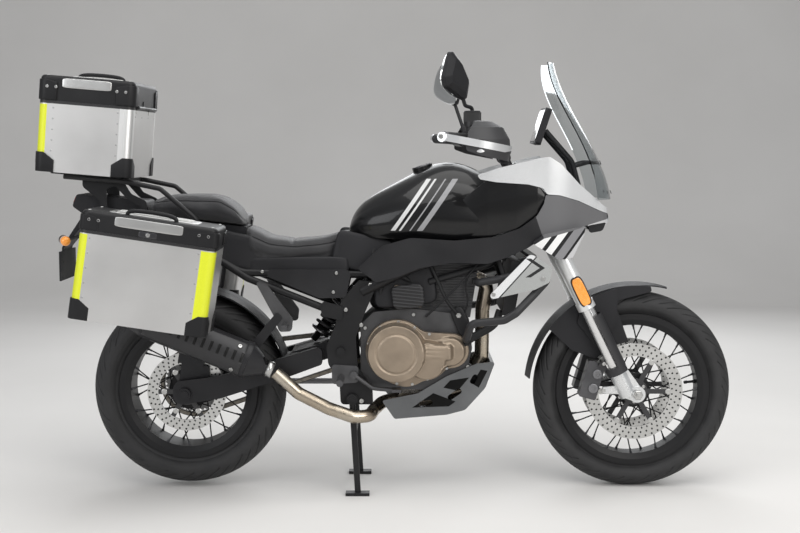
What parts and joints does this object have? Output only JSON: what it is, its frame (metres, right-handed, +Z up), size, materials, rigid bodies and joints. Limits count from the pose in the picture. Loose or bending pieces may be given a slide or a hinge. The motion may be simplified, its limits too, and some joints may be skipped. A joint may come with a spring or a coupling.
{
  "type": "adventure motorcycle with top box and panniers",
  "caption": "Adventure touring motorcycle on its centre stand, with spoked wheels, clear screen, hand guards, crash bars, top box and aluminium panniers",
  "frame": {"origin": "on the floor, midway between the ends of the whole machine and on its middle plane", "axes": "+X forward, +Y to the rider's left, +Z up"},
  "size_m": [2.2649, 0.96, 1.4245],
  "materials": {
    "frame_black": "satin black coating",
    "engine_grey": "cast, satin",
    "cover_bronze": "satin metallic",
    "radiator_black": "matt black",
    "shroud_silver": "painted, gloss",
    "guard_black": "satin",
    "skid_aluminium": "brushed",
    "header_steel": "warm tint from heat",
    "silencer_grey": "satin",
    "tank_black": "high gloss",
    "dark_plastic": "moulded grain",
    "fairing_silver": "painted, gloss",
    "lamp_clear": "clear lens over a reflector",
    "screen_clear": "clear, polished",
    "seat_vinyl": "grained vinyl",
    "shock_metal": "satin",
    "chain_steel": "oiled",
    "arm_metal": "satin black",
    "rack_black": "satin",
    "rest_metal": "satin",
    "case_aluminium": "brushed",
    "lid_black": "black coating, bare plate on top",
    "clamp_black": "satin",
    "fork_silver": "satin",
    "leg_chrome": "polished tube, cast foot",
    "caliper_grey": "satin",
    "bar_silver": "satin",
    "control_black": "matt",
    "handguard_black": "moulded",
    "mirror_black": "moulded back, glass face",
    "tyre": "block tread",
    "rim_black": "satin, bright spokes",
    "disc_steel": "ground",
    "sprocket_steel": "satin",
    "stand_black": "satin",
    "side_stand_silver": "satin"
  },
  "bodies": {
    "chassis": {"main_frame": "frame_black", "subframe": "frame_black", "engine_block": "engine_grey", "engine_covers": "cover_bronze", "radiator": "radiator_black", "radiator_shrouds": "shroud_silver", "crash_bars": "guard_black", "skid_plate": "skid_aluminium", "exhaust_headers": "header_steel", "silencer": "silencer_grey", "fuel_tank": "tank_black", "side_panels": "dark_plastic", "upper_fairing": "fairing_silver", "fairing_stay": "dark_plastic", "headlight": "lamp_clear", "windscreen": "screen_clear", "rider_seat": "seat_vinyl", "passenger_seat": "seat_vinyl", "tail": "dark_plastic", "swingarm": "arm_metal", "rear_shock": "shock_metal", "rear_hugger": "dark_plastic", "drive_chain": "chain_steel", "luggage_racks": "rack_black", "foot_rests": "rest_metal", "top_box_body": "case_aluminium", "pannier_bodies": "case_aluminium"},
    "steering": {"triple_clamps": "clamp_black", "fork_tubes": "fork_silver", "fork_legs": "leg_chrome", "front_mudguard": "dark_plastic", "front_calipers": "caliper_grey", "handlebar": "bar_silver", "bar_controls": "control_black", "handguards": "handguard_black", "mirrors": "mirror_black"},
    "front_wheel": {"front_tyre": "tyre", "front_rim": "rim_black", "front_discs": "disc_steel"},
    "rear_wheel": {"rear_tyre": "tyre", "rear_rim": "rim_black", "rear_disc": "disc_steel", "rear_sprocket": "sprocket_steel"},
    "top_box_lid": {"top_box_lid": "lid_black"},
    "right_pannier_lid": {"right_pannier_lid": "lid_black"},
    "left_pannier_lid": {"left_pannier_lid": "lid_black"},
    "centre_stand": {"centre_stand": "stand_black"},
    "side_stand": {"side_stand": "side_stand_silver"}
  },
  "joints": [
    {"name": "steering", "type": "hinge", "parent": "chassis", "child": "steering", "pos_m": [0.75806, 0, 0.30758], "axis": [-0.4384, 0, 0.8988], "range_deg": [-33, 33]},
    {"name": "front_wheel_spin", "type": "hinge", "parent": "steering", "child": "front_wheel", "pos_m": [0.803, 0, 0.3295], "axis": [0, 1, 0], "continuous": true},
    {"name": "rear_wheel_spin", "type": "hinge", "parent": "chassis", "child": "rear_wheel", "pos_m": [-0.677, 0, 0.333], "axis": [0, 1, 0], "continuous": true},
    {"name": "centre_stand_fold", "type": "hinge", "parent": "chassis", "child": "centre_stand", "pos_m": [-0.13, 0, 0.318], "axis": [0, 1, 0], "range_deg": [0, 85]},
    {"name": "side_stand_swing", "type": "hinge", "parent": "chassis", "child": "side_stand", "pos_m": [-0.078, 0.18, 0.32], "axis": [0, -0.9336, -0.3584], "range_deg": [0, 100]},
    {"name": "top_box_lid_hinge", "type": "hinge", "parent": "chassis", "child": "top_box_lid", "pos_m": [-0.80908, 0, 1.26161], "axis": [0, 1, 0], "range_deg": [0, 95]},
    {"name": "right_pannier_lid_hinge", "type": "hinge", "parent": "chassis", "child": "right_pannier_lid", "pos_m": [-0.72502, -0.269, 0.86467], "axis": [-0.989, 0, 0.1478], "range_deg": [0, 90]},
    {"name": "left_pannier_lid_hinge", "type": "hinge", "parent": "chassis", "child": "left_pannier_lid", "pos_m": [-0.72502, 0.269, 0.86467], "axis": [0.989, 0, -0.1478], "range_deg": [0, 90]}
  ]
}
